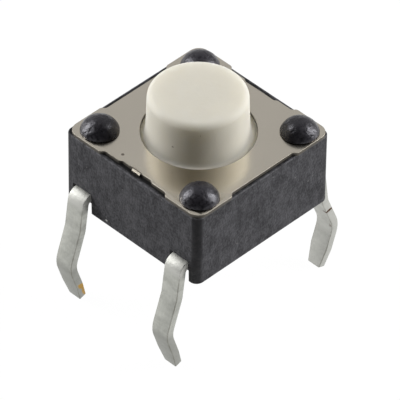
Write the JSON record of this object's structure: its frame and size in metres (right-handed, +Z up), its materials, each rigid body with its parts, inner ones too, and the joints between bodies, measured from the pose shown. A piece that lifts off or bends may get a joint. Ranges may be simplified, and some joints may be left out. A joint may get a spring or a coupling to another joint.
{
  "type": "tactile switch",
  "caption": "Square momentary push switch for a circuit board: black housing, riveted steel cover, round ivory plunger and kinked pin legs.",
  "frame": {"origin": "centre of the housing's underside, the face that sits on the circuit board", "axes": "+Z up along the plunger, +X and -X towards the two sides that the legs leave"},
  "size_m": [0.0078, 0.006, 0.008],
  "materials": {
    "black_moulding": "fine matt moulded black, staked heads glossy",
    "cover_steel": "rolled satin stainless sheet",
    "ivory_moulding": "semi-gloss moulded ivory grey",
    "dome_steel": "bright spring sheet",
    "tinned_brass": "dull tin or silver plate over brass sheet"
  },
  "bodies": {
    "switch_body": {"housing_base": "black_moulding", "cover_plate": "cover_steel", "contact_frame_rim": "tinned_brass", "contact_frame_centre": "tinned_brass", "snap_dome": "dome_steel"},
    "button": {"plunger": "ivory_moulding"}
  },
  "joints": [
    {"name": "plunger_press", "type": "slide", "parent": "switch_body", "child": "button", "axis": [0, 0, -1], "range_m": [0, 0.00025], "stiffness_N_per_m": 3900, "deforming": ["snap_dome"]}
  ]
}
